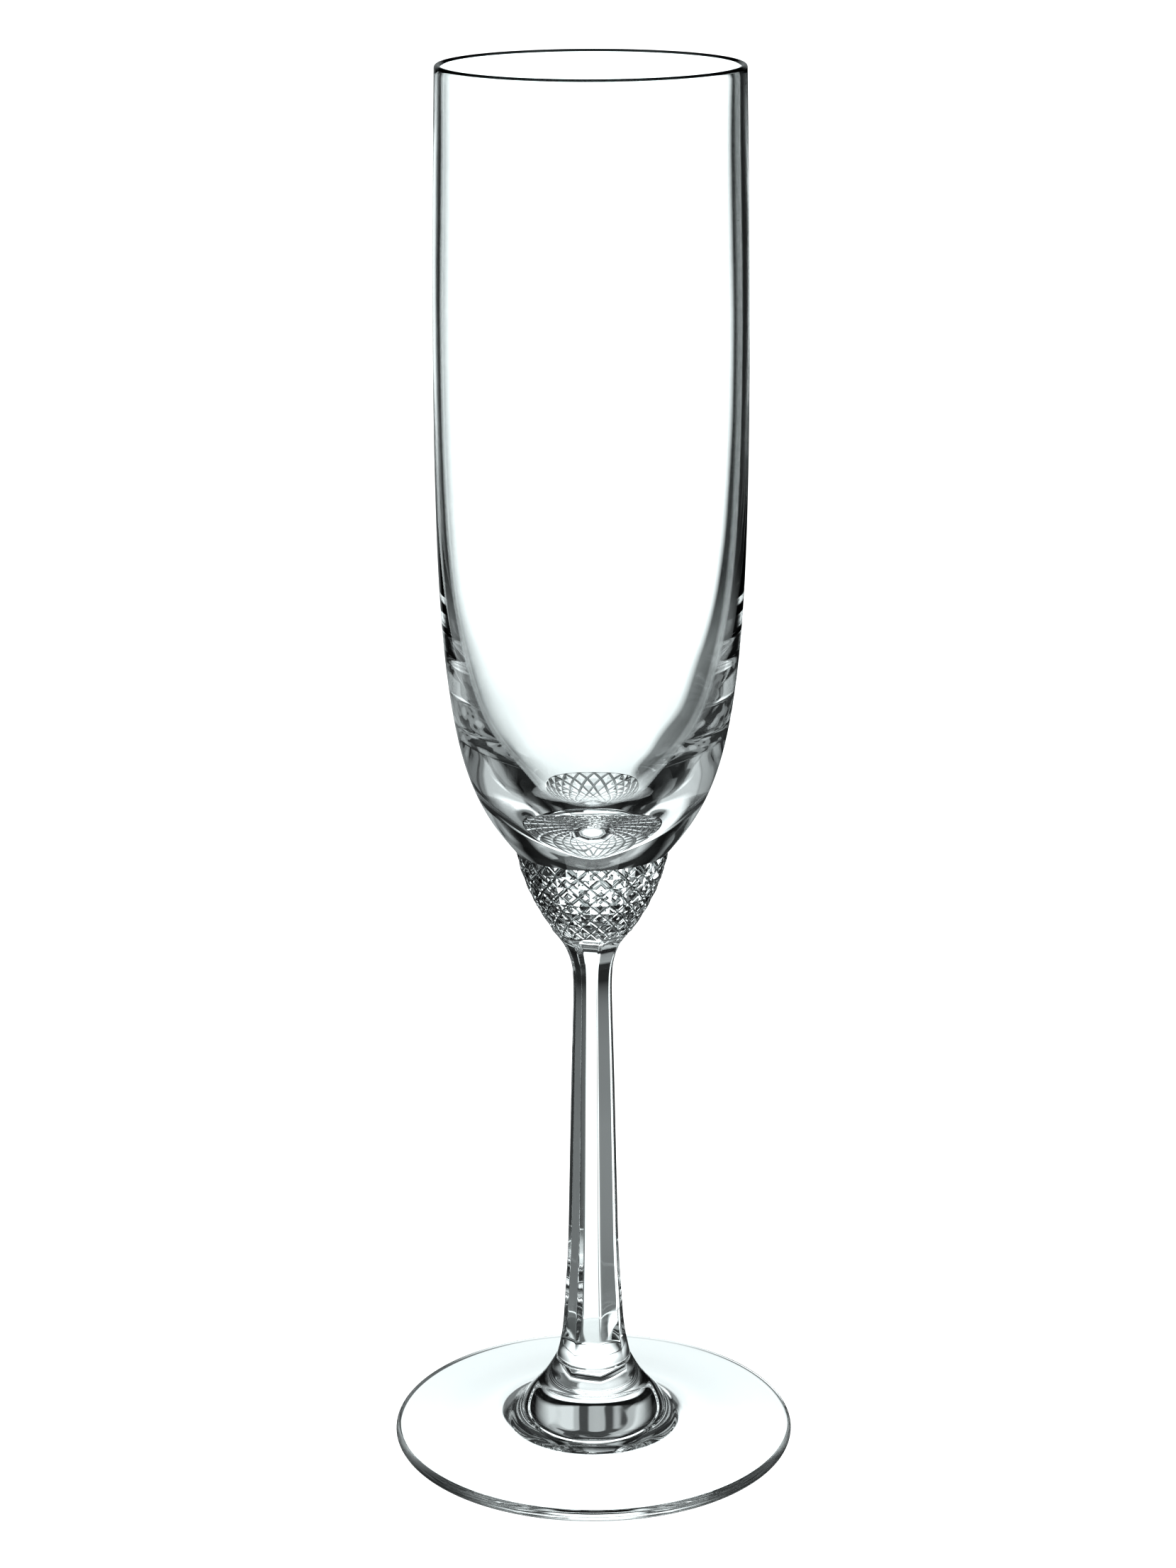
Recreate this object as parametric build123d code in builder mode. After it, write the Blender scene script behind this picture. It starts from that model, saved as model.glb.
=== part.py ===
"""Champagne flute: a glass bowl on a diamond-cut cup, an eight-sided stem and a round foot.

The origin is the centre of the circle that the foot stands on. +Z is up and sizes are in mm.
The four pieces are the four gathers of glass that the flute is made from. Each one meets the
next on a flat, level joint face.
"""
import os
from math import cos, radians, sin

from build123d import *

# ---- driving dimensions ----

height = 240.0
rim_radius = 25.0
rim_wall = 1.05                 # glass thickness at the rim, which is fire-polished round

cup_joint_z = 109.05            # bowl on diamond-cut cup
bowl_base_radius = 13.2
cup_top_radius = 13.1
cup_taper = 0.158               # how fast the cup narrows at its top, mm per mm
cup_rounding = 0.0187           # how much faster it narrows further down
stem_joint_z = 94.5             # cup on stem
foot_joint_z = 14.5             # stem on foot
foot_neck_radius = 6.6

# diamond cutting: pyramids in staggered rows that get lower towards the stem
diamonds_around = 20
diamond_rows = 9
first_row_drop = 1.89
row_shrink = 0.955
groove_depth = 0.028            # groove depth as a share of the cup's radius
diamond_turn = 6.75             # degrees from the front (-Y) to the first diamond, towards +X

# stem: flat facets with sharp edges
facets = 8
facet_turn = 10.5               # degrees from the front (-Y) to one edge, towards +X
facet_end_z = 19.1              # below this the eight sides round off

foot_radius = 35.15
foot_edge_height = 2.1
foot_rest_inner = 27.0          # the foot rests on a flat ring and is hollow inside it
foot_rest_outer = 34.1
pontil_radius = 8.3             # a flat disc ground into the middle of the hollow
pontil_height = 0.6
pontil_bevel = 0.5
foot_hollow = 0.35              # height of the underside where the bevel starts

# ---- bowl ----

rim_lip_z = height - rim_wall / 2
inner_rim_radius = rim_radius - rim_wall

bowl_outside = [
    (bowl_base_radius, cup_joint_z),
    (16.6, 113.5),
    (20.6, 121.5),
    (23.3, 132.6),
    (24.95, 147.6),
    (25.75, 170.0),
    (25.75, 200.0),
    (rim_radius, rim_lip_z),
]
bowl_inside = [
    (inner_rim_radius, rim_lip_z),
    (24.6, 200.0),
    (24.39, 170.0),
    (23.33, 152.5),
    (21.26, 139.5),
    (18.71, 131.0),
    (16.28, 126.0),
    (13.35, 121.5),
    (10.44, 118.5),
    (6.21, 115.5),
    (2.4, 113.66),
    (0.0, 112.93),
]

with BuildPart() as bowl:
    with BuildSketch(Plane.XZ):
        with BuildLine():
            Line((0, cup_joint_z), bowl_outside[0])
            Spline(*bowl_outside)
            ThreePointArc(
                bowl_outside[-1], (rim_radius - rim_wall / 2, height), bowl_inside[0]
            )
            Spline(*bowl_inside, tangents=[(0, -1), (-1, 0)])
            Line(bowl_inside[-1], (0, cup_joint_z))
        make_face()
    revolve(axis=Axis.Z)
bowl.part.label = "bowl"

# ---- diamond-cut cup ----


def cup_radius(z):
    """Radius over the points of the diamonds, a parabola that closes towards the stem."""
    drop = cup_joint_z - z
    return cup_top_radius - cup_taper * drop - cup_rounding * drop**2


def row_height(row):
    """Height of a row of diamond points. Each drop is a little less than the one above."""
    return cup_joint_z - first_row_drop * (1 - row_shrink**row) / (1 - row_shrink)


def ring_point(radius, z, angle):
    """A point at an angle in degrees from the front, towards +X."""
    return Vector(radius * sin(radians(angle)), -radius * cos(radians(angle)), z)


def cut_ring(row):
    """Points and groove crossings of one row in turn, half a diamond apart."""
    z = row_height(row)
    high = cup_radius(z)
    low = high * (1 - groove_depth)
    half_pitch = 180 / diamonds_around
    ring = []
    for step in range(2 * diamonds_around):
        radius = high if (step + row) % 2 == 0 else low
        ring.append(ring_point(radius, z, diamond_turn + step * half_pitch))
    return ring


def triangle(a, b, c):
    return Face(Wire.make_polygon([a, b, c]))


def band(upper, lower, upper_points):
    """Triangles between two rings of equal count. A row's points are crests at the steps
    where (step + upper_points) is even, and every triangle has one crest corner."""
    faces = []
    count = len(upper)
    for step in range(count):
        after = (step + 1) % count
        if (step + upper_points) % 2 == 0:
            faces.append(triangle(upper[step], lower[step], upper[after]))
            faces.append(triangle(upper[after], lower[step], lower[after]))
        else:
            faces.append(triangle(upper[step], lower[step], lower[after]))
            faces.append(triangle(upper[step], lower[after], upper[after]))
    return faces


rings = [cut_ring(row) for row in range(diamond_rows + 1)]
cup_foot_ring = [
    ring_point(cup_radius(stem_joint_z), stem_joint_z, diamond_turn + step * 180 / diamonds_around)
    for step in range(2 * diamonds_around)
]
cup_faces = [Face(Wire.make_polygon(rings[0])), Face(Wire.make_polygon(cup_foot_ring))]
for row in range(diamond_rows):
    cup_faces += band(rings[row], rings[row + 1], row)
cup_faces += band(rings[-1], cup_foot_ring, diamond_rows)

with BuildPart() as diamond_cup:
    add(Solid(Shell(cup_faces)))
diamond_cup.part.label = "diamond_cup"

# ---- stem ----

# height and radius over the edges, from the cup down to where the facets end
stem_stations = [
    (stem_joint_z, 7.0),
    (93.2, 5.95),
    (91.9, 5.05),
    (90.2, 4.25),
    (88.2, 3.66),
    (85.6, 3.4),
    (80.0, 3.42),
    (69.3, 3.72),
    (57.2, 3.99),
    (44.2, 4.28),
    (34.0, 4.58),
    (26.0, 5.08),
    (facet_end_z, 5.67),
]
edge_angles = [facet_turn - 90 + facet * 360 / facets for facet in range(facets)]

with BuildPart() as stem:
    for z, radius in stem_stations:
        with BuildSketch(Plane.XY.offset(z)):
            RegularPolygon(radius, facets, rotation=edge_angles[0])
    loft()
    with BuildSketch(Plane.XY.offset(facet_end_z)):
        RegularPolygon(stem_stations[-1][1], facets, rotation=edge_angles[0])
    with BuildSketch(Plane.XY.offset(foot_joint_z)):
        with BuildLine():
            for angle in edge_angles:
                CenterArc((0, 0), foot_neck_radius, angle, 360 / facets)
        make_face()
    loft(ruled=True)
stem.part.label = "stem"

# ---- foot ----

foot_top = [
    (foot_neck_radius, foot_joint_z),
    (8.65, 10.9),
    (12.3, 6.5),
    (14.2, 4.45),
    (15.6, 3.6),
    (19.0, 3.1),
    (25.0, 2.55),
    (foot_rest_outer, foot_edge_height),
]
pontil_edge = (pontil_radius + pontil_bevel, foot_hollow)
hollow_directions = [(-1, 0), (-1, 0.02)]       # flat at the ring, hardly rising at the pontil mark

with BuildPart() as foot:
    with BuildSketch(Plane.XZ):
        with BuildLine():
            Line((0, foot_joint_z), foot_top[0])
            Spline(*foot_top)
            ThreePointArc(
                foot_top[-1], (foot_radius, foot_edge_height / 2), (foot_rest_outer, 0)
            )
            Line((foot_rest_outer, 0), (foot_rest_inner, 0))
            Spline((foot_rest_inner, 0), pontil_edge, tangents=hollow_directions)
            Line(pontil_edge, (pontil_radius, pontil_height))
            Line((pontil_radius, pontil_height), (0, pontil_height))
            Line((0, pontil_height), (0, foot_joint_z))
        make_face()
    revolve(axis=Axis.Z)
foot.part.label = "foot"

# ---- hand over ----

os.makedirs("parts", exist_ok=True)
for piece in (bowl, diamond_cup, stem, foot):
    export_step(piece.part, f"parts/{piece.part.label}.step")
    print(piece.part.label, "volume", round(piece.part.volume), "mm3")
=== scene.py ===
"""Champagne flute: the looks of the glass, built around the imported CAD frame.

Each of the four CAD nodes gets a fine closed glass mesh in the same place. Where two pieces are
fused, both joint faces are fully transparent, so that light crosses the joint as it does in one
body of glass. Sizes are in millimetres and are scaled to metres when a mesh is made. Angles
round the flute are in degrees from the front (-Y), towards +X.
"""
import math

import bpy
import numpy as np
from mathutils import Euler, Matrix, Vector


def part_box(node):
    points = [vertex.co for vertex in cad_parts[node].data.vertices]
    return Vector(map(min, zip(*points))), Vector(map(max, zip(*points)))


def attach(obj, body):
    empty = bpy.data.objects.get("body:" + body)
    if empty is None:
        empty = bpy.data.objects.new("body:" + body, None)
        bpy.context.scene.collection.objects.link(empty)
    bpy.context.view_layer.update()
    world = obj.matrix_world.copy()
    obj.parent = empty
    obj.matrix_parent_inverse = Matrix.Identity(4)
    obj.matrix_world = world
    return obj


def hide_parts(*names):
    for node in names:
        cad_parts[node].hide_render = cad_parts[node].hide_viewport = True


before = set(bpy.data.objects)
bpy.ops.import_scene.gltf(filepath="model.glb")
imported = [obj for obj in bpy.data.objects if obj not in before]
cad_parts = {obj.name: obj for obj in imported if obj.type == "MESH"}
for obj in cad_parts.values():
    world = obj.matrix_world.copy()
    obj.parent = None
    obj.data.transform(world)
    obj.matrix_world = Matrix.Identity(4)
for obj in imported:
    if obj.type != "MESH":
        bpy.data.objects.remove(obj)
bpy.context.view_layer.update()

MM = 0.001

# ---- sizes, mm ----

foot_joint_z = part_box("stem")[0][2] / MM
stem_joint_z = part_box("diamond_cup")[0][2] / MM
cup_joint_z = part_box("bowl")[0][2] / MM
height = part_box("bowl")[1][2] / MM
foot_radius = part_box("foot")[1][0] / MM

rim_radius = 25.0
rim_wall = 1.05
# painted shade: a near black glass over this height at the top of the rim stands in for its dark
# line
rim_painted_shade_height = 0.45          # of the darker edge along the top of the rim
bowl_base_radius = 13.2
cup_top_radius = 13.1
cup_taper = 0.158               # how fast the cup narrows at its top, mm per mm
cup_rounding = 0.0187           # how much faster it narrows further down
foot_neck_radius = 6.6

diamonds_around = 20
diamond_rows = 9
first_row_drop = 1.89
row_shrink = 0.955
# the groove between two diamonds, the foot of its wall and the top of its wall: how far out in a
# diamond each lies, and how deep below the peaks as a share of the cup's radius
diamond_steps = [(1.0, 0.028), (0.9, 0.026), (0.74, 0.008)]
diamond_turn = 6.75             # angle of the first diamond

facets = 8
facet_turn = 10.5               # angle of one edge of the stem
edge_sharpness = 90             # the higher, the sharper the stem's edges

lip_z = height - rim_wall / 2
# radius and height, up the outside of the bowl and down its inside
bowl_outside = [
    (bowl_base_radius, cup_joint_z),
    (16.6, 113.5),
    (20.6, 121.5),
    (23.3, 132.6),
    (24.95, 147.6),
    (25.75, 170.0),
    (25.75, 200.0),
    (rim_radius, lip_z),
]
bowl_inside = [
    (rim_radius - rim_wall, lip_z),
    (24.6, 200.0),
    (24.39, 170.0),
    (23.33, 152.5),
    (21.26, 139.5),
    (18.71, 131.0),
    (16.28, 126.0),
    (13.35, 121.5),
    (10.44, 118.5),
    (6.21, 115.5),
    (2.4, 113.66),
    (0.0, 112.93),
]

# height and radius over the stem's edges, from the cup down to the foot
stem_stations = [
    (stem_joint_z, 7.0),
    (93.2, 5.95),
    (91.9, 5.05),
    (90.2, 4.25),
    (88.2, 3.66),
    (85.6, 3.4),
    (80.0, 3.42),
    (69.3, 3.72),
    (57.2, 3.99),
    (44.2, 4.28),
    (34.0, 4.58),
    (26.0, 5.08),
    (19.1, 5.67),
    (foot_joint_z, foot_neck_radius),
]
facets_fade_z = 24.0            # from here down the facets round off
facets_end_z = 11.0             # and here, below the joint, they are gone

foot_edge_height = 2.1
foot_rest_inner = 27.0          # the foot rests on a flat ring and is hollow inside it
foot_rest_outer = 34.1
foot_hollow = 0.35              # height of the underside where the ground pontil mark starts
pontil_radius = 8.3
pontil_bevel = 0.5
pontil_height = 0.6
# radius and height, from the stem out to the edge
foot_top = [
    (foot_neck_radius, foot_joint_z),
    (8.65, 10.9),
    (12.3, 6.5),
    (14.2, 4.45),
    (15.6, 3.6),
    (19.0, 3.1),
    (25.0, 2.55),
    (foot_rest_outer, foot_edge_height),
]

# ---- fineness of the meshes ----

bowl_points_around = 288
points_per_facet = 24           # of the stem, which the rings of the foot continue
bowl_outside_rings = 150
bowl_inside_rings = 170
lip_rings = 21
stem_rings = 120
foot_top_rings = 110
foot_edge_rings = 15
hollow_rings = 24
bevel_rings = 6

# ---- glass ----

glass_ior = 1.52
crystal_tint = (0.985, 0.995, 0.992, 1)
# painted shade: near black glass for the top of the rim and dark glass for the bottoms of the cut
# grooves, where refraction draws dark lines
rim_painted_shade_tint = (0.002, 0.0025, 0.0025, 1)
groove_painted_shade_tint = (0.1, 0.11, 0.11, 1)
# the slow waves in each surface: their height in metres, and how many there are to a metre
bowl_waves = (0.00001, 60)
cut_waves = (0.000002, 400)
stem_waves = (0.000006, 150)
foot_waves = (0.00001, 90)
wave_detail = 2.0

# ---- curves ----


def spline(points, count, start=None, end=None):
    """A smooth curve through the points, as count points. start and end are directions there,
    and an end without one is left free."""
    points = np.array(points, float)
    gaps = np.hypot(*np.diff(points, axis=0).T)
    knots = np.concatenate([[0], np.cumsum(gaps)])
    size = len(points)
    matrix = np.zeros((size, size))
    right = np.zeros((size, 2))
    slopes = np.diff(points, axis=0) / gaps[:, None]
    for i in range(1, size - 1):
        matrix[i, i - 1] = gaps[i]
        matrix[i, i] = 2 * (gaps[i - 1] + gaps[i])
        matrix[i, i + 1] = gaps[i - 1]
        right[i] = 3 * (gaps[i] * slopes[i - 1] + gaps[i - 1] * slopes[i])
    for i, inner, direction, slope in ((0, 1, start, slopes[0]), (-1, -2, end, slopes[-1])):
        matrix[i, i] = 1 if direction else 2
        if direction:
            right[i] = np.array(direction) / math.hypot(*direction)
        else:
            matrix[i, inner] = 1
            right[i] = 3 * slope
    tangents = np.linalg.solve(matrix, right)
    curve = []
    for distance in np.linspace(0, knots[-1], count):
        i = min(np.searchsorted(knots, distance, side="right") - 1, size - 2)
        t = (distance - knots[i]) / gaps[i]
        curve.append(
            (2 * t**3 - 3 * t**2 + 1) * points[i]
            + (t**3 - 2 * t**2 + t) * gaps[i] * tangents[i]
            + (3 * t**2 - 2 * t**3) * points[i + 1]
            + (t**3 - t**2) * gaps[i] * tangents[i + 1]
        )
    return [tuple(point) for point in curve]


def arc(start, over, end, count):
    """Points of the half ellipse from start to end that bulges to over, without both ends."""
    middle = (np.array(start) + np.array(end)) / 2
    half = np.array(start) - middle
    bulge = np.array(over) - middle
    angles = np.linspace(0, math.pi, count + 2)[1:-1]
    return [tuple(middle + half * math.cos(a) + bulge * math.sin(a)) for a in angles]


def ring_point(radius, z, angle):
    """A point on a level circle round the axis."""
    return (radius * math.sin(math.radians(angle)), -radius * math.cos(math.radians(angle)), z)


def angle_of(point):
    """The angle of a point, from 0 to 360."""
    return math.degrees(math.atan2(point[0], -point[1])) % 360


# ---- materials ----


def new_material(name):
    material = bpy.data.materials.new(name)
    material.use_nodes = True
    material.node_tree.nodes.clear()
    return material, material.node_tree.nodes, material.node_tree.links


def clear_glass(name, waves, tint=crystal_tint):
    """Crystal glass, clear in the crystal tint; the darker tints passed to it are painted shade.
    Slow waves in the surface bend what is seen through it, as in hand-worked glass."""
    wave_height, wave_scale = waves
    material, nodes, links = new_material(name)
    output = nodes.new("ShaderNodeOutputMaterial")
    shader = nodes.new("ShaderNodeBsdfPrincipled")
    shader.inputs["Base Color"].default_value = tint
    shader.inputs["Roughness"].default_value = 0.0
    shader.inputs["IOR"].default_value = glass_ior
    shader.inputs["Transmission Weight"].default_value = 1.0
    place = nodes.new("ShaderNodeTexCoord")
    noise = nodes.new("ShaderNodeTexNoise")
    noise.inputs["Scale"].default_value = wave_scale
    noise.inputs["Detail"].default_value = wave_detail
    bump = nodes.new("ShaderNodeBump")
    bump.inputs["Strength"].default_value = 1.0
    bump.inputs["Distance"].default_value = wave_height
    links.new(place.outputs["Object"], noise.inputs["Vector"])
    links.new(noise.outputs["Fac"], bump.inputs["Height"])
    links.new(bump.outputs["Normal"], shader.inputs["Normal"])
    links.new(shader.outputs["BSDF"], output.inputs["Surface"])
    return material


def fused_joint():
    """Nothing to see: light goes straight on from one piece into the next."""
    material, nodes, links = new_material("fused_joint")
    output = nodes.new("ShaderNodeOutputMaterial")
    shader = nodes.new("ShaderNodeBsdfTransparent")
    links.new(shader.outputs["BSDF"], output.inputs["Surface"])
    return material


# the kinds of face, in the order in which a piece holds its materials
GLASS = 0
JOINT = 1
# faces given the darker glass of painted shade
PAINTED_SHADE = 2

joint_material = fused_joint()
# a darker glass along the top of the rim and in the bottoms of the cut grooves, so that they show
# as thin dark lines: painted shade, standing in for the dark lines that refraction draws there
rim_painted_shade = clear_glass("rim_painted_shade_glass", bowl_waves, rim_painted_shade_tint)
groove_painted_shade = clear_glass("groove_painted_shade_glass", cut_waves, groove_painted_shade_tint)

# ---- meshes ----


def make_piece(name, shape, smooth, materials, node):
    """A closed glass mesh that stands for a CAD node. materials are in the order of the kinds."""
    mesh = bpy.data.meshes.new(name)
    mesh.from_pydata([tuple(np.array(point) * MM) for point in shape.points], [], shape.faces)
    for material in materials:
        mesh.materials.append(material)
    for polygon, kind in zip(mesh.polygons, shape.kinds):
        polygon.material_index = kind
        polygon.use_smooth = smooth and kind != JOINT
    mesh.validate()
    mesh.update()
    piece = bpy.data.objects.new(name, mesh)
    bpy.context.collection.objects.link(piece)
    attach(piece, "root")
    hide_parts(node)


class RingMesh:
    """Points and faces in rings. The kind of a face is its place among the piece's materials."""

    def __init__(self):
        self.points = []
        self.faces = []
        self.kinds = []
        self.known = {}

    def ring(self, points):
        first = len(self.points)
        self.points += points
        return list(range(first, first + len(points)))

    def shared(self, point):
        """The index of a point that several faces use, added the first time it is asked for."""
        key = tuple(round(float(value), 4) for value in point)
        if key not in self.known:
            self.known[key] = len(self.points)
            self.points.append(tuple(point))
        return self.known[key]

    def face(self, corners, kind=GLASS):
        self.faces.append(corners)
        self.kinds.append(kind)

    def strip(self, upper, lower, kind=GLASS):
        count = len(upper)
        for i in range(count):
            j = (i + 1) % count
            self.face([upper[i], lower[i], lower[j], upper[j]], kind)

    def cap(self, ring, centre, up, kind=GLASS):
        """A fan from the ring to a centre point. up says which way it faces."""
        hub = len(self.points)
        self.points.append(centre)
        count = len(ring)
        for i in range(count):
            j = (i + 1) % count
            corners = [ring[i], ring[j], hub] if up else [ring[j], ring[i], hub]
            self.face(corners, kind)


def turned_rings(mesh, profile, around):
    """The rings of a turned profile, from its start to its end."""
    angles = [360 * i / around for i in range(around)]
    rings = []
    for radius, z in profile:
        rings.append(mesh.ring([ring_point(radius, z, angle) for angle in angles]))
    return rings


def cup_radius(z):
    """Radius over the points of the diamonds, a parabola that closes towards the stem."""
    drop = cup_joint_z - z
    return cup_top_radius - cup_taper * drop - cup_rounding * drop**2


def row_height(row):
    """Height of a row of diamond points. Each drop is a little less than the one above."""
    return cup_joint_z - first_row_drop * (1 - row_shrink**row) / (1 - row_shrink)


def cut_point(row, step, depth=0.0):
    """A point of the cut surface, on a row and a step round it, at a share of the radius deep."""
    z = row_height(row)
    radius = cup_radius(z) * (1 - depth)
    return np.array(ring_point(radius, z, diamond_turn + step * 180 / diamonds_around))


def diamond_point(row, step, side, reach, depth):
    """A point of one diamond, at a reach from its middle to the corner on that side."""
    middle = cut_point(row, step, depth)
    corner = cut_point(row + side[0], step + side[1], depth)
    return tuple(middle + (corner - middle) * reach)


def end_outline(row):
    """The outline of the cut surface across one row: peaks, groove walls and grooves in turn."""
    outline = []
    for step in range(2 * diamonds_around):
        if (step + row) % 2 == 0:
            outline.append(tuple(cut_point(row, step)))
            for reach, depth in reversed(diamond_steps[1:]):
                outline.append(diamond_point(row, step, (0, 1), reach, depth))
        else:
            for reach, depth in diamond_steps:
                outline.append(diamond_point(row, step + 1, (0, -1), reach, depth))
    return outline


def facet_middle(facet):
    """The angle of the middle of a facet."""
    return facet_turn + (facet + 0.5) * 360 / facets


def facet_radius(angle, edge_radius):
    """Radius of the octagon at an angle. Its corners are slightly rounded."""
    total = 0
    for facet in range(facets):
        facing = math.cos(math.radians(angle - facet_middle(facet)))
        total += max(0, facing) ** edge_sharpness
    flat = edge_radius * math.cos(math.pi / facets) * 2 ** (1 / edge_sharpness)
    return flat * total ** (-1 / edge_sharpness)


def facet_angles():
    """Angles round the stem in turn, closer together towards the edges of its facets."""
    angles = []
    for facet in range(facets):
        for i in range(points_per_facet):
            across = math.sin(math.radians(-90 + 180 * i / points_per_facet))
            angles.append(facet_middle(facet) + across * 180 / facets)
    return angles


def stem_ring(z, edge_radius, angles):
    """A ring of the stem: eight-sided, rounding off to a circle where the facets end."""
    share = (z - facets_end_z) / (facets_fade_z - facets_end_z)
    share = min(max(share, 0), 1)
    share = share * share * (3 - 2 * share)
    ring = []
    for angle in angles:
        flat_sided = facet_radius(angle, edge_radius)
        ring.append(ring_point(edge_radius + (flat_sided - edge_radius) * share, z, angle))
    return ring


def build_bowl():
    """The turned bowl: up the outside, over the lip, down the inside, then the underside."""
    outside = spline(bowl_outside, bowl_outside_rings)
    lip = arc(bowl_outside[-1], (rim_radius - rim_wall / 2, height), bowl_inside[0], lip_rings)
    inside = spline(bowl_inside, bowl_inside_rings, start=(0, -1), end=(-1, 0))
    mesh = RingMesh()
    rings = turned_rings(mesh, outside + lip + inside[:-1], bowl_points_around)
    # the faces at the top of the lip get painted shade, the near black rim glass
    for lower, upper in zip(rings, rings[1:]):
        lowest = min(mesh.points[lower[0]][2], mesh.points[upper[0]][2])
        mesh.strip(upper, lower, PAINTED_SHADE if lowest > height - rim_painted_shade_height else GLASS)
    mesh.cap(rings[-1], (0, 0, inside[-1][1]), up=True)
    # underside: a narrow glass ledge round the cup, and the fused face inside it
    outline = end_outline(0)
    seam = mesh.ring(outline)
    edge = mesh.ring(
        [ring_point(bowl_base_radius, cup_joint_z, angle_of(point)) for point in outline]
    )
    mesh.strip(edge, seam)
    mesh.cap(seam, (0, 0, cup_joint_z), up=False, kind=JOINT)
    materials = (clear_glass("bowl_glass", bowl_waves), joint_material, rim_painted_shade)
    make_piece("flute_bowl", mesh, True, materials, "bowl")


def add_diamond(mesh, row, step, sides, closed):
    """One cut diamond: from the bottom of the groove, a wall steps up to facets that meet in a
    peak. The lowest step of the wall, down in the groove, is painted shade: dark glass for the dark
    line of the groove. sides are its corners in clockwise order, three of them for half a diamond
    at an end of the cup."""
    rings = [
        [mesh.shared(diamond_point(row, step, side, reach, depth)) for side in sides]
        for reach, depth in diamond_steps
    ]
    peak = mesh.shared(cut_point(row, step))
    for side in range(len(sides) if closed else len(sides) - 1):
        after = (side + 1) % len(sides)
        # the lowest step of the wall, in the groove, gets painted shade, the dark groove glass
        for outer, inner, kind in zip(rings, rings[1:], (PAINTED_SHADE, GLASS)):
            mesh.face([outer[side], inner[side], inner[after], outer[after]], kind)
        mesh.face([rings[-1][side], peak, rings[-1][after]])


def bridge(mesh, upper, lower):
    """Triangles between two rings of different counts, both in order of angle."""
    def unrolled(ring):
        start = min(range(len(ring)), key=lambda i: angle_of(mesh.points[ring[i]]))
        ring = ring[start:] + ring[:start]
        turns = [angle_of(mesh.points[i]) for i in ring]
        return ring + ring[:1], turns + [turns[0] + 360]

    upper, upper_turns = unrolled(upper)
    lower, lower_turns = unrolled(lower)
    i = 0
    j = 0
    while i < len(upper) - 1 or j < len(lower) - 1:
        if j == len(lower) - 1 or (i < len(upper) - 1 and upper_turns[i + 1] <= lower_turns[j + 1]):
            mesh.face([upper[i], lower[j], upper[i + 1]])
            i += 1
        else:
            mesh.face([upper[i], lower[j], lower[j + 1]])
            j += 1


def build_cup():
    """The cut cup: rows of diamonds, with half diamonds at both ends, and a band to the stem."""
    up, right, down, left = (-1, 0), (0, 1), (1, 0), (0, -1)
    mesh = RingMesh()
    for row in range(diamond_rows + 1):
        for step in range(row % 2, 2 * diamonds_around, 2):
            if row == 0:
                add_diamond(mesh, row, step, (right, down, left), closed=False)
            elif row == diamond_rows:
                add_diamond(mesh, row, step, (left, up, right), closed=False)
            else:
                add_diamond(mesh, row, step, (up, right, down, left), closed=True)
    top = [mesh.shared(point) for point in end_outline(0)]
    mesh.cap(top, (0, 0, cup_joint_z), up=True, kind=JOINT)
    bottom = [mesh.shared(point) for point in end_outline(diamond_rows)]
    collar = mesh.ring(stem_ring(stem_joint_z, stem_stations[0][1], facet_angles()))
    bridge(mesh, bottom, collar)
    mesh.cap(collar, (0, 0, stem_joint_z), up=False, kind=JOINT)
    materials = (clear_glass("cut_glass", cut_waves), joint_material, groove_painted_shade)
    make_piece("flute_diamond_cup", mesh, False, materials, "diamond_cup")


def build_stem():
    """The stem, between its two fused faces."""
    stations = spline(stem_stations, stem_rings)
    mesh = RingMesh()
    rings = [mesh.ring(stem_ring(z, radius, facet_angles())) for z, radius in stations]
    for upper, lower in zip(rings, rings[1:]):
        mesh.strip(upper, lower)
    mesh.cap(rings[0], (0, 0, stem_joint_z), up=True, kind=JOINT)
    mesh.cap(rings[-1], (0, 0, foot_joint_z), up=False, kind=JOINT)
    materials = (clear_glass("stem_glass", stem_waves), joint_material)
    make_piece("flute_stem", mesh, True, materials, "stem")


def build_foot():
    """The foot: its flare and top, the rounded edge and the hollow underside."""
    top = spline(foot_top, foot_top_rings)
    edge = arc(
        foot_top[-1], (foot_radius, foot_edge_height / 2), (foot_rest_outer, 0), foot_edge_rings
    )
    pontil_edge = (pontil_radius + pontil_bevel, foot_hollow)
    pontil_rim = (pontil_radius, pontil_height)
    hollow = spline([(foot_rest_inner, 0), pontil_edge], hollow_rings, start=(-1, 0))
    bevel = spline([pontil_edge, pontil_rim], bevel_rings, start=(-1, 0), end=(-1, 0))
    under = hollow + bevel[1:] + [(pontil_radius / 2, pontil_height)]
    profile = top + edge + [(foot_rest_outer, 0)] + under
    mesh = RingMesh()
    rings = [mesh.ring(stem_ring(z, radius, facet_angles())) for radius, z in profile]
    for upper, lower in zip(rings, rings[1:]):
        mesh.strip(upper, lower)
    mesh.cap(rings[-1], (0, 0, pontil_height), up=False)
    mesh.cap(rings[0], (0, 0, foot_joint_z), up=True, kind=JOINT)
    materials = (clear_glass("foot_glass", foot_waves), joint_material)
    make_piece("flute_foot", mesh, True, materials, "foot")


build_bowl()
build_cup()
build_stem()
build_foot()

# ---- studio ----

# The room's lights. All angles are in degrees, azimuths from the back (+Y) towards +X. Each light
# has its brightness across (at azimuths) and upright (at degrees above the horizon).
camera_light = 1.4              # the plain white that the camera sees past the glass
veil = 0.2                      # the share that is left of what the outside of the glass reflects


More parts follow.
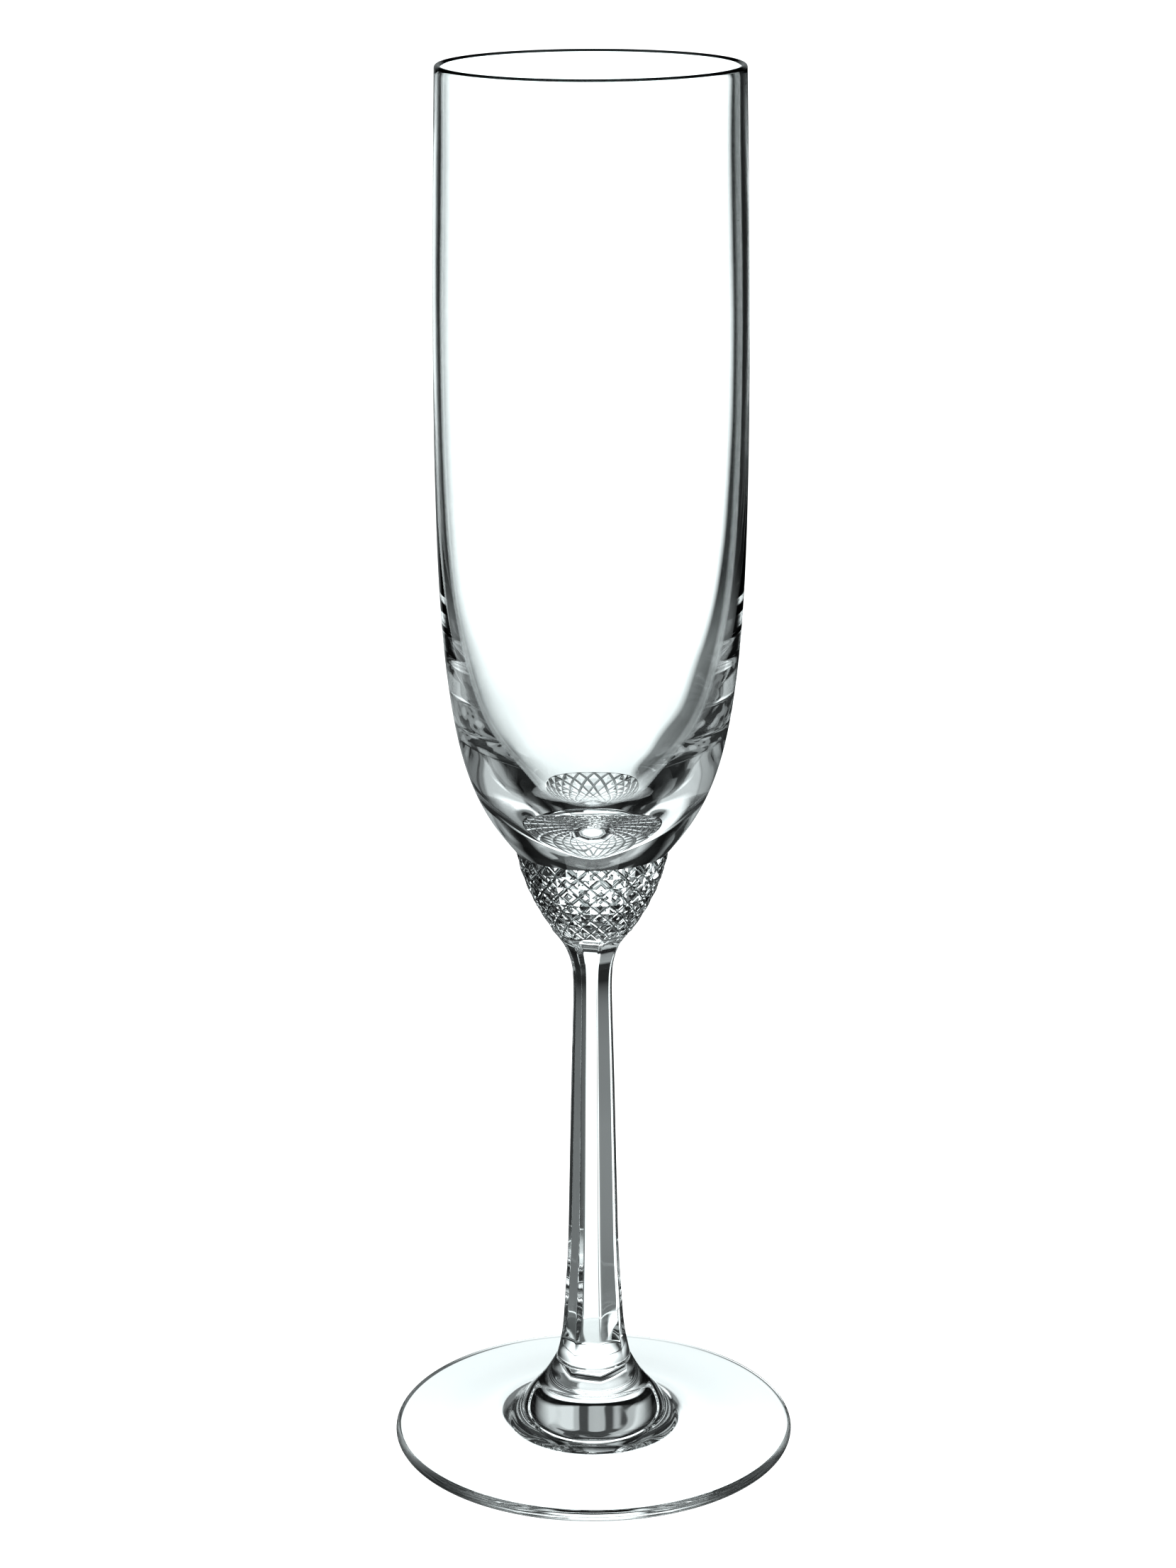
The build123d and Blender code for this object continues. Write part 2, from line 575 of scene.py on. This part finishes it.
def light(across, upright, strength, straight_only=False, patchy=False):
    """A light on the room's walls. straight_only keeps it out of reflections, and patchy breaks
    it up into darker and lighter patches."""
    return {
        "across": across,
        "upright": upright,
        "strength": strength,
        "straight_only": straight_only,
        "patchy": patchy,
    }


# a tall white screen behind the flute, brightest in the middle and cut off on the right
screen = light(
    across=[(-24, 0), (-17, 0.7), (-10, 1), (9, 1), (11, 0)],
    upright=[(-60, 0.45), (-45, 0.57), (-30, 0.63), (-24, 0.74), (-19, 1), (11, 1), (15, 0)],
    strength=1.4,
)
# screens for the other sides, which are seen straight through the glass but not in reflections
side_screens = light(
    across=[
        (middle + degrees, grey)
        for middle in (-90, -45, 135)
        for degrees, grey in ((-11, 0), (-8, 1), (8, 1), (11, 0))
    ],
    upright=[(-60, 0.6), (-50, 1), (11, 1), (15, 0)],
    strength=1.4,
    straight_only=True,
)
# a low light strip behind the flute along the horizon
strip = light(
    across=[(-34, 0), (-26, 0.3), (-17, 1), (15, 1), (24, 0.3), (32, 0)],
    upright=[(-5, 0), (-1, 1), (11, 1), (15, 0)],
    strength=1.3,
)
# a soft box on each side, brightest in its upper half
soft_boxes = light(
    across=[(-124, 0), (-116, 1), (-76, 1), (-70, 0), (70, 0), (76, 1), (116, 1), (124, 0)],
    upright=[(8, 0), (12, 0.5), (20, 0.5), (24, 1), (30, 1), (36, 0)],
    strength=1.1,
)
# the grey table top on both sides of the screen
table = light(
    across=[
        (-60, 0), (-48, 0.45), (-36, 0.45), (-26, 0.75), (0, 1), (14, 0.5), (46, 0.5), (58, 0),
    ],
    upright=[(-60, 0.3), (-45, 0.8), (-24, 1), (-17, 0)],
    strength=0.4,
)
# pale panels high up behind the flute
panels = light(
    across=[(-34, 0), (-24, 1), (24, 1), (34, 0)],
    upright=[(23, 0), (26, 1), (42, 1), (52, 0)],
    strength=0.6,
    patchy=True,
)
# the grey room behind the camera
rear_room = light(
    across=[(-180, 1), (-62, 1), (-50, 0), (50, 0), (62, 1), (180, 1)],
    upright=[(-60, 0), (-46, 0.08), (-10, 0.1), (2, 0.4), (20, 0.4), (45, 0.25), (60, 0)],
    strength=1.0,
    patchy=True,
)
lights = (screen, side_screens, strip, soft_boxes, table, panels, rear_room)

patch_scale = 3.0
patch_detail = 1.0
patch_tones = [(0.42, 1), (0.46, 0.7), (0.52, 0.65), (0.54, 0.15), (0.6, 0.12)]
# the room between the lights: dark walls, a white table below and a pale ceiling overhead
room_upright = [
    (-90, 1), (-62, 0.9), (-46, 0.08), (-25, 0.04), (4, 0.03), (12, 0.01), (60, 0.015),
    (72, 0.4), (90, 0.8),
]
room_tint = (0.93, 0.99, 1.0, 1)

floor_reach = 4000              # from the flute's axis to each side of the floor
floor_drop = 0.5                # below the foot


def pale_floor():
    """A plain white floor just under the foot. The glass sees the room's lights instead."""
    reach = floor_reach * MM
    mesh = bpy.data.meshes.new("floor")
    corners = [(-reach, -reach, 0), (reach, -reach, 0), (reach, reach, 0), (-reach, reach, 0)]
    mesh.from_pydata(corners, [], [(0, 1, 2, 3)])
    floor = bpy.data.objects.new("floor", mesh)
    bpy.context.collection.objects.link(floor)
    material, nodes, links = new_material("pale_floor")
    output = nodes.new("ShaderNodeOutputMaterial")
    glow = nodes.new("ShaderNodeEmission")
    glow.inputs["Color"].default_value = (1, 1, 1, 1)
    links.new(glow.outputs["Emission"], output.inputs["Surface"])
    mesh.materials.append(material)
    floor.visible_diffuse = False
    floor.visible_glossy = False
    floor.visible_transmission = False
    floor.visible_shadow = False
    floor.location.z = -floor_drop * MM


def math_node(nodes, links, operation, *values):
    """The result of a math node. Each value is a number or another node's output."""
    node = nodes.new("ShaderNodeMath")
    node.operation = operation
    for socket, value in zip(node.inputs, values):
        if isinstance(value, (int, float)):
            socket.default_value = value
        else:
            links.new(value, socket)
    return node.outputs[0]


def ramp(nodes, links, value, stops):
    """A grey ramp. stops are (place, brightness), places running from 0 to 1."""
    node = nodes.new("ShaderNodeValToRGB")
    elements = node.color_ramp.elements
    while len(elements) < len(stops):
        elements.new(0.5)           # moved to its place below
    for element, (place, grey) in zip(elements, stops):
        element.position = place
        element.color = (grey, grey, grey, 1)
    links.new(value, node.inputs["Fac"])
    return node.outputs["Color"]


def studio_world():
    """Bright lights in a dark room with a white table. The camera sees plain white past the
    glass."""
    world = bpy.data.worlds.new("studio")
    bpy.context.scene.world = world
    world.use_nodes = True
    nodes = world.node_tree.nodes
    links = world.node_tree.links
    nodes.clear()
    place = nodes.new("ShaderNodeTexCoord")
    split = nodes.new("ShaderNodeSeparateXYZ")
    links.new(place.outputs["Generated"], split.inputs["Vector"])
    azimuth = math_node(nodes, links, "ARCTAN2", split.outputs["X"], split.outputs["Y"])
    turn = math_node(nodes, links, "MULTIPLY_ADD", azimuth, 1 / math.tau, 0.5)
    elevation = math_node(nodes, links, "ARCSINE", split.outputs["Z"])
    rise = math_node(nodes, links, "MULTIPLY_ADD", elevation, 1 / math.pi, 0.5)

    def upright(stops):
        return ramp(nodes, links, rise, [(degrees / 180 + 0.5, grey) for degrees, grey in stops])

    def across(stops):
        return ramp(nodes, links, turn, [(degrees / 360 + 0.5, grey) for degrees, grey in stops])

    patches = nodes.new("ShaderNodeTexNoise")
    patches.inputs["Scale"].default_value = patch_scale
    patches.inputs["Detail"].default_value = patch_detail
    links.new(place.outputs["Generated"], patches.inputs["Vector"])
    tones = ramp(nodes, links, patches.outputs["Fac"], patch_tones)
    total = upright(room_upright)
    seen = nodes.new("ShaderNodeLightPath")
    reflected = math_node(nodes, links, "MINIMUM", seen.outputs["Glossy Depth"], 1)
    straight = math_node(nodes, links, "SUBTRACT", 1, reflected)
    for lamp in lights:
        shine = math_node(
            nodes, links, "MULTIPLY", across(lamp["across"]), upright(lamp["upright"])
        )
        shine = math_node(nodes, links, "MULTIPLY", shine, lamp["strength"])
        if lamp["straight_only"]:
            shine = math_node(nodes, links, "MULTIPLY", shine, straight)
        if lamp["patchy"]:
            shine = math_node(nodes, links, "MULTIPLY", shine, tones)
        total = math_node(nodes, links, "MAXIMUM", total, shine)
    # what the outside of the glass reflects is dimmed, as a polarising filter on the lens does
    inside = math_node(nodes, links, "MINIMUM", seen.outputs["Transmission Depth"], 1)
    filtered = math_node(nodes, links, "MULTIPLY_ADD", inside, 1 - veil, veil)
    total = math_node(nodes, links, "MULTIPLY", total, filtered)
    strength = nodes.new("ShaderNodeMix")
    links.new(seen.outputs["Is Camera Ray"], strength.inputs["Factor"])
    links.new(total, strength.inputs["A"])
    strength.inputs["B"].default_value = camera_light
    background = nodes.new("ShaderNodeBackground")
    background.inputs["Color"].default_value = room_tint
    links.new(strength.outputs["Result"], background.inputs["Strength"])
    output = nodes.new("ShaderNodeOutputWorld")
    links.new(background.outputs["Background"], output.inputs["Surface"])


# ---- camera ----

camera_aside = -0.28            # to the right of the flute's axis
camera_distance = 580.98        # in front of it
camera_height = 296.66
camera_pitch = 16.9             # looking down
camera_roll = 0.14
focal_length = 82.58
sensor_width = 36


def add_camera():
    """A camera in front of the flute, a little above the rim and looking down at it."""
    data = bpy.data.cameras.new("camera")
    data.sensor_width = sensor_width
    data.lens = focal_length
    camera = bpy.data.objects.new("camera", data)
    bpy.context.collection.objects.link(camera)
    camera.location = (camera_aside * MM, -camera_distance * MM, camera_height * MM)
    camera.rotation_euler = Euler((math.radians(90 - camera_pitch), math.radians(camera_roll), 0))
    bpy.context.scene.camera = camera


pale_floor()
studio_world()
add_camera()

# light is followed through many surfaces, because each facet of the cut glass passes it on
scene = bpy.context.scene
scene.view_settings.view_transform = "Standard"
scene.view_settings.look = "High Contrast"
scene.cycles.max_bounces = 32
scene.cycles.transmission_bounces = 32
scene.cycles.glossy_bounces = 24
scene.cycles.transparent_max_bounces = 32
